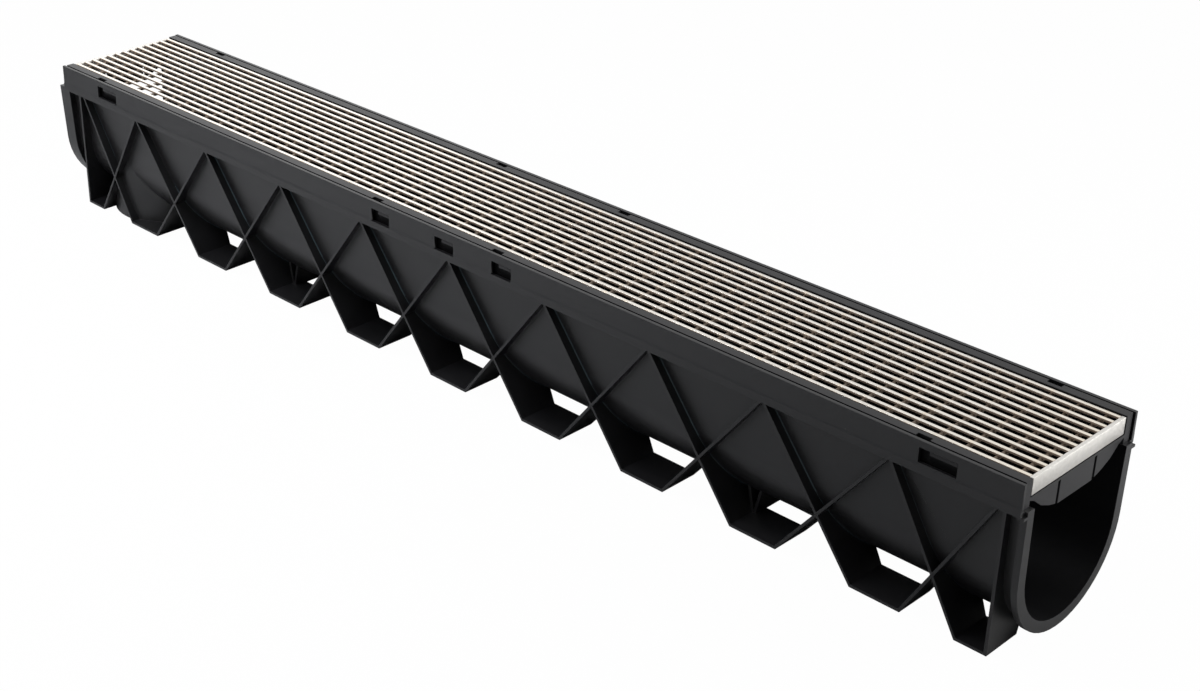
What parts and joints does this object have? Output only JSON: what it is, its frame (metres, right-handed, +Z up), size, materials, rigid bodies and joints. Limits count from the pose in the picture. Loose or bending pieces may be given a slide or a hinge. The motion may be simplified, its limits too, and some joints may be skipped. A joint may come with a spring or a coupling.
{
  "type": "channel drain",
  "caption": "Linear drainage channel: a moulded U trough on lattice feet with a clip-in grate carrier and a flush steel bar grate, closed outlet drum beneath one end",
  "frame": {"origin": "centre of the footprint on the ground, lip and collar included", "axes": "+X along the channel towards the end with the thin lip, -X end carries the joining collar and the outlet drum; +Z up"},
  "size_m": [1.0156, 0.128, 0.129],
  "materials": {
    "channel_plastic": "fine moulded black, slightly satin",
    "carrier_plastic": "fine moulded black, slightly satin",
    "bar_steel": "bright drawn stainless steel",
    "end_plate_steel": "bright stainless steel, light weld tint at the edges",
    "rod_steel": "stainless steel with brown weld tint"
  },
  "bodies": {
    "root": {"channel_body": "channel_plastic", "grate_carrier": "carrier_plastic", "end_plate_near": "end_plate_steel", "end_plate_far": "end_plate_steel", "grate_bar_01": "bar_steel", "grate_bar_02": "bar_steel", "grate_bar_03": "bar_steel", "grate_bar_04": "bar_steel", "grate_bar_05": "bar_steel", "grate_bar_06": "bar_steel", "grate_bar_07": "bar_steel", "grate_bar_08": "bar_steel", "grate_bar_09": "bar_steel", "grate_bar_10": "bar_steel", "grate_bar_11": "bar_steel", "grate_bar_12": "bar_steel", "grate_bar_13": "bar_steel", "cross_rods_bay_1": "rod_steel", "cross_rods_bay_2": "rod_steel", "cross_rods_bay_3": "rod_steel", "cross_rods_bay_4": "rod_steel"}
  },
  "joints": []
}
